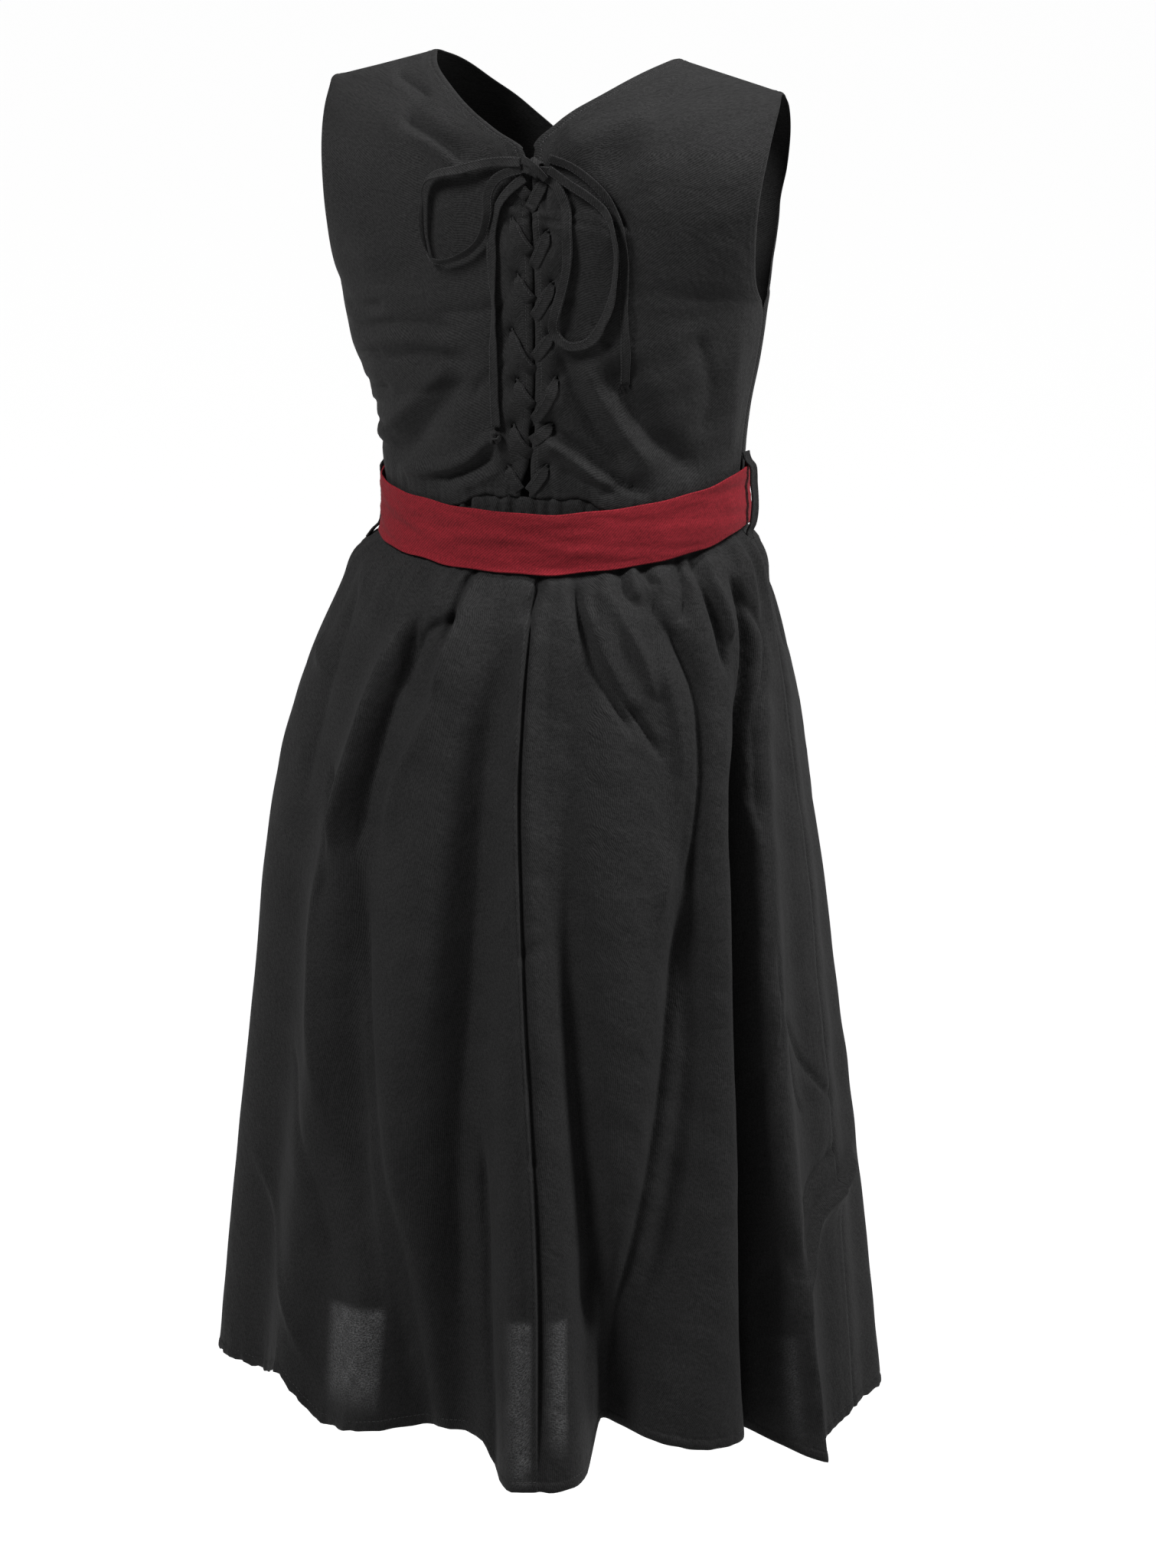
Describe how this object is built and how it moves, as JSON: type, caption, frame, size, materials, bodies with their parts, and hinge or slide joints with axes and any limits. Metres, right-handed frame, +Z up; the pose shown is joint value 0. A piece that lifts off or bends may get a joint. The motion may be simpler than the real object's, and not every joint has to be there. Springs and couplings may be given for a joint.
{
  "type": "overdress",
  "caption": "Long sleeveless black twill overdress, laced and tied in a bow down the back of the bodice, gathered into a flared skirt, with a red sash at the waist.",
  "frame": {"origin": "midway between the shoulders, at the height of the neck ends of the shoulder seams, where the wearer's shoulders hold the garment up", "axes": "+Z up along the hanging garment, -Y out of the garment's front and +Y out of its laced back, +X to the wearer's left"},
  "size_m": [0.4805, 0.4468, 0.997],
  "materials": {
    "black_twill": "matt black cotton twill, slightly faded",
    "red_twill": "matt deep red cotton twill, edge stitched",
    "black_lace": "flat woven black cotton lace"
  },
  "bodies": {
    "root": {"bodice_front": "black_twill", "bodice_back_left": "black_twill", "bodice_back_right": "black_twill", "skirt_front": "black_twill", "skirt_back_left": "black_twill", "skirt_back_right": "black_twill", "belt_loop_left": "black_twill", "belt_loop_right": "black_twill", "sash": "red_twill", "lacing_left_run": "black_lace", "lacing_right_run": "black_lace", "bow_knot": "black_lace", "bow_loop_left": "black_lace", "bow_loop_right": "black_lace", "bow_tail_left": "black_lace", "bow_tail_right": "black_lace", "tail_knot": "black_lace"}
  },
  "joints": []
}
